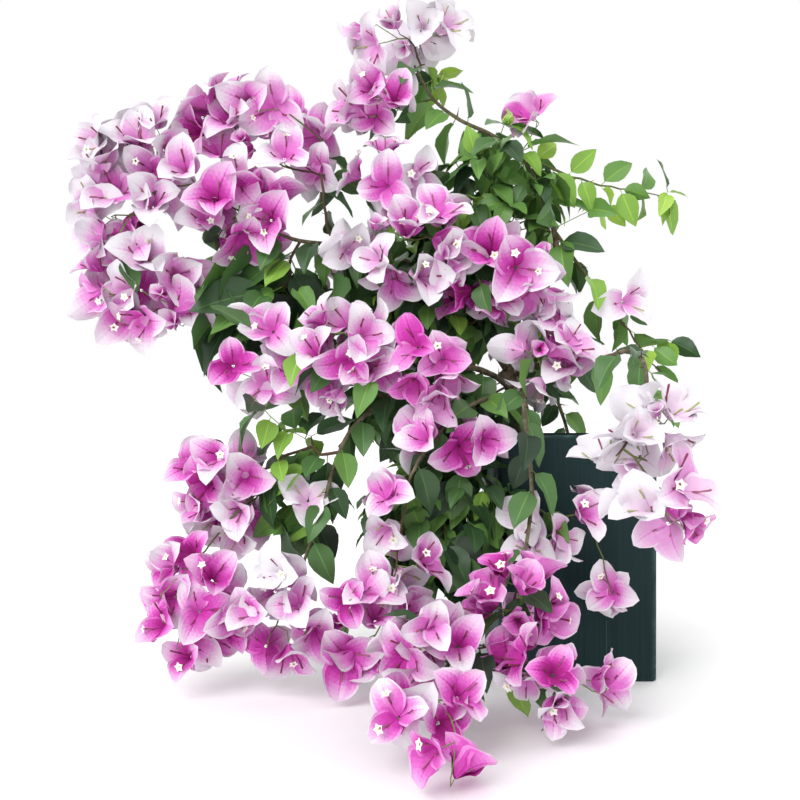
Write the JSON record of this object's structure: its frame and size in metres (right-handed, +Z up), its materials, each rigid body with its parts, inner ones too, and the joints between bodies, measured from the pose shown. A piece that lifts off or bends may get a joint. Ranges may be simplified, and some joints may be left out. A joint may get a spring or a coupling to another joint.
{
  "type": "potted bougainvillea bush",
  "caption": "Weeping bougainvillea bush with pink and white bracts, leaning and trailing over one side of a tall square planter.",
  "frame": {"origin": "centre of the planter's flat underside, on the surface that it stands on", "axes": "+Z up; -Y to the front, the side that the canes trail over; +X to the right seen from the front"},
  "size_m": [0.7042, 0.6008, 0.7603],
  "materials": {
    "planter": "matt dark green with fine upright brush lines and paler worn edges",
    "soil": "damp loam compost, crumbly",
    "bark": "grey-brown bark, thorny young canes",
    "leaf": "glossy mid to dark green leaves",
    "blossom": "papery magenta-pink bracts fading to white at the margin",
    "pale_blossom": "papery white to pale pink bracts"
  },
  "bodies": {
    "root": {"back_high": "leaf", "back_left": "leaf", "back_low": "leaf", "back_middle": "leaf", "back_right": "leaf", "bloom_brow": "blossom", "bloom_cheek": "blossom", "bloom_column": "blossom", "bloom_column_low": "blossom", "bloom_crest": "blossom", "bloom_front_left": "blossom", "bloom_front_low": "blossom", "bloom_front_right": "blossom", "bloom_front_tip": "blossom", "bloom_front_top": "blossom", "bloom_funnel": "blossom", "bloom_heart_left": "blossom", "bloom_heart_right": "blossom", "bloom_high": "blossom", "bloom_left_drop": "blossom", "bloom_left_edge": "blossom", "bloom_left_heart": "blossom", "bloom_left_mid": "blossom", "bloom_left_soft": "pale_blossom", "bloom_low_left": "blossom", "bloom_low_mid": "blossom", "bloom_low_right": "pale_blossom", "bloom_near_high": "pale_blossom", "bloom_near_low": "pale_blossom", "bloom_pot_high": "blossom", "bloom_pot_low": "blossom", "bloom_pot_mid": "blossom", "bloom_right_high": "blossom", "bloom_right_low": "blossom", "bloom_shoulder": "pale_blossom", "bloom_single": "blossom", "bloom_tip": "pale_blossom", "cane_back_high": "bark", "cane_back_low": "bark", "cane_centre_low": "bark", "cane_front_low": "bark", "cane_front_right": "bark", "cane_left_arch": "bark", "cane_lower_left": "bark", "cane_right_droop": "bark", "cane_right_shoot": "bark", "cane_top": "bark", "core_high": "leaf", "core_low": "leaf", "core_mid": "leaf", "leaf_droop": "leaf", "leaf_left": "leaf", "leaf_low_left": "leaf", "leaf_right_high": "leaf", "leaf_shoot": "leaf", "leaf_top": "leaf", "planter": "planter", "soil": "soil", "trunk": "bark"}
  },
  "joints": []
}
